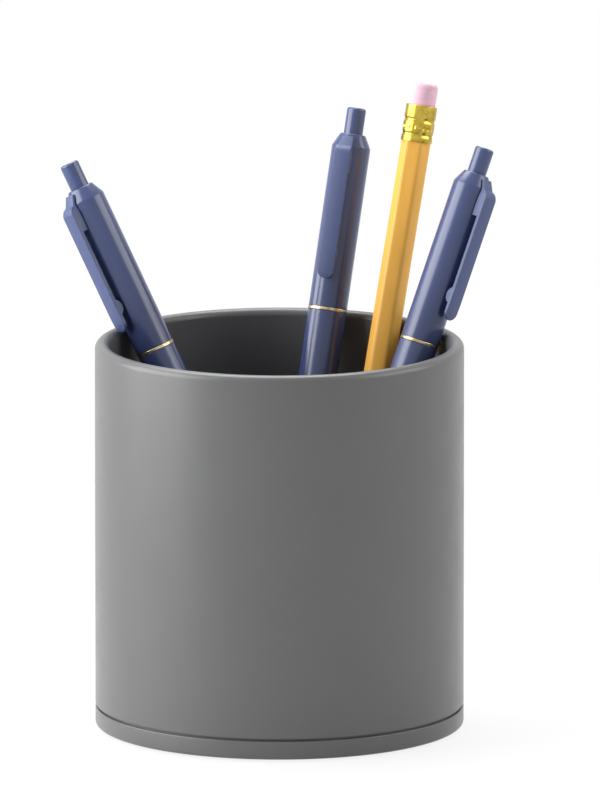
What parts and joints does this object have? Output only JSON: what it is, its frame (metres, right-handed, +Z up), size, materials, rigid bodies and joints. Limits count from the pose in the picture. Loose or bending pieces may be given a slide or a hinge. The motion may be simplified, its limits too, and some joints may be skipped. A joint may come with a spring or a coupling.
{
  "type": "pen stand",
  "caption": "Round desk pen stand with a rounded lip and a plugged-in base, stocked with click pens and a pencil that lean on its lip and lift out.",
  "frame": {"origin": "middle of the face that stands on the desk", "axes": "+Z up out of the cup's mouth, +X to the right and -Y towards the viewer of the picture"},
  "size_m": [0.1065, 0.0942, 0.153],
  "materials": {
    "stand_grey": "fine satin, moulded",
    "pad_rubber": "matt foam",
    "pen_navy": "soft-touch satin",
    "ring_gold": "polished",
    "refill_plastic": "smooth",
    "spring_steel": "drawn wire",
    "pencil_wood": "lacquered, bare wood at the cone",
    "pencil_lead": "graphite",
    "ferrule_brass": "rolled, bright",
    "eraser_pink": "matt"
  },
  "bodies": {
    "stand": {"cup_body": "stand_grey", "base": "stand_grey", "non_slip_pad": "pad_rubber"},
    "left_pen": {"left_pen_lower_barrel": "pen_navy", "left_pen_centre_ring": "ring_gold", "left_pen_upper_barrel": "pen_navy", "left_pen_spring": "spring_steel"},
    "left_plunger": {"left_pen_button": "pen_navy", "left_pen_refill": "refill_plastic"},
    "left_clip": {"left_pen_clip": "pen_navy"},
    "middle_pen": {"middle_pen_lower_barrel": "pen_navy", "middle_pen_centre_ring": "ring_gold", "middle_pen_upper_barrel": "pen_navy", "middle_pen_spring": "spring_steel"},
    "middle_plunger": {"middle_pen_button": "pen_navy", "middle_pen_refill": "refill_plastic"},
    "middle_clip": {"middle_pen_clip": "pen_navy"},
    "right_pen": {"right_pen_lower_barrel": "pen_navy", "right_pen_centre_ring": "ring_gold", "right_pen_upper_barrel": "pen_navy", "right_pen_spring": "spring_steel"},
    "right_plunger": {"right_pen_button": "pen_navy", "right_pen_refill": "refill_plastic"},
    "right_clip": {"right_pen_clip": "pen_navy"},
    "pencil": {"pencil_casing": "pencil_wood", "pencil_lead": "pencil_lead", "pencil_ferrule": "ferrule_brass", "pencil_eraser": "eraser_pink"}
  },
  "joints": [
    {"name": "left_pen_lift", "type": "slide", "parent": "stand", "child": "left_pen", "axis": [-0.4241, 0.1362, 0.8953], "range_m": [0, 0.11]},
    {"name": "left_pen_click", "type": "slide", "parent": "left_pen", "child": "left_plunger", "axis": [-0.4241, 0.1362, 0.8953], "range_m": [0, 0.004], "deforming": ["left_pen_spring"]},
    {"name": "left_pen_clip_flex", "type": "hinge", "parent": "left_pen", "child": "left_clip", "pos_m": [-0.04973, 0.01805, 0.12376], "axis": [-0.5609, 0.7367, -0.3777], "range_deg": [0, 2], "stiffness_Nm_per_rad": 0.5},
    {"name": "middle_pen_lift", "type": "slide", "parent": "stand", "child": "middle_pen", "axis": [0.1441, 0.237, 0.9608], "range_m": [0, 0.11]},
    {"name": "middle_pen_click", "type": "slide", "parent": "middle_pen", "child": "middle_plunger", "axis": [0.1441, 0.237, 0.9608], "range_m": [0, 0.004], "deforming": ["middle_pen_spring"]},
    {"name": "middle_pen_clip_flex", "type": "hinge", "parent": "middle_pen", "child": "middle_clip", "pos_m": [0.0161, 0.0401, 0.13442], "axis": [-0.9522, 0.2974, 0.0694], "range_deg": [0, 2], "stiffness_Nm_per_rad": 0.5},
    {"name": "right_pen_lift", "type": "slide", "parent": "stand", "child": "right_pen", "axis": [0.3214, 0.2071, 0.924], "range_m": [0, 0.11]},
    {"name": "right_pen_click", "type": "slide", "parent": "right_pen", "child": "right_plunger", "axis": [0.3214, 0.2071, 0.924], "range_m": [0, 0.004], "deforming": ["right_pen_spring"]},
    {"name": "right_pen_clip_flex", "type": "hinge", "parent": "right_pen", "child": "right_clip", "pos_m": [0.0496, 0.01552, 0.12809], "axis": [-0.6226, -0.689, 0.371], "range_deg": [0, 2], "stiffness_Nm_per_rad": 0.5},
    {"name": "pencil_lift", "type": "slide", "parent": "stand", "child": "pencil", "axis": [0.1606, 0.1717, 0.972], "range_m": [0, 0.11]}
  ]
}
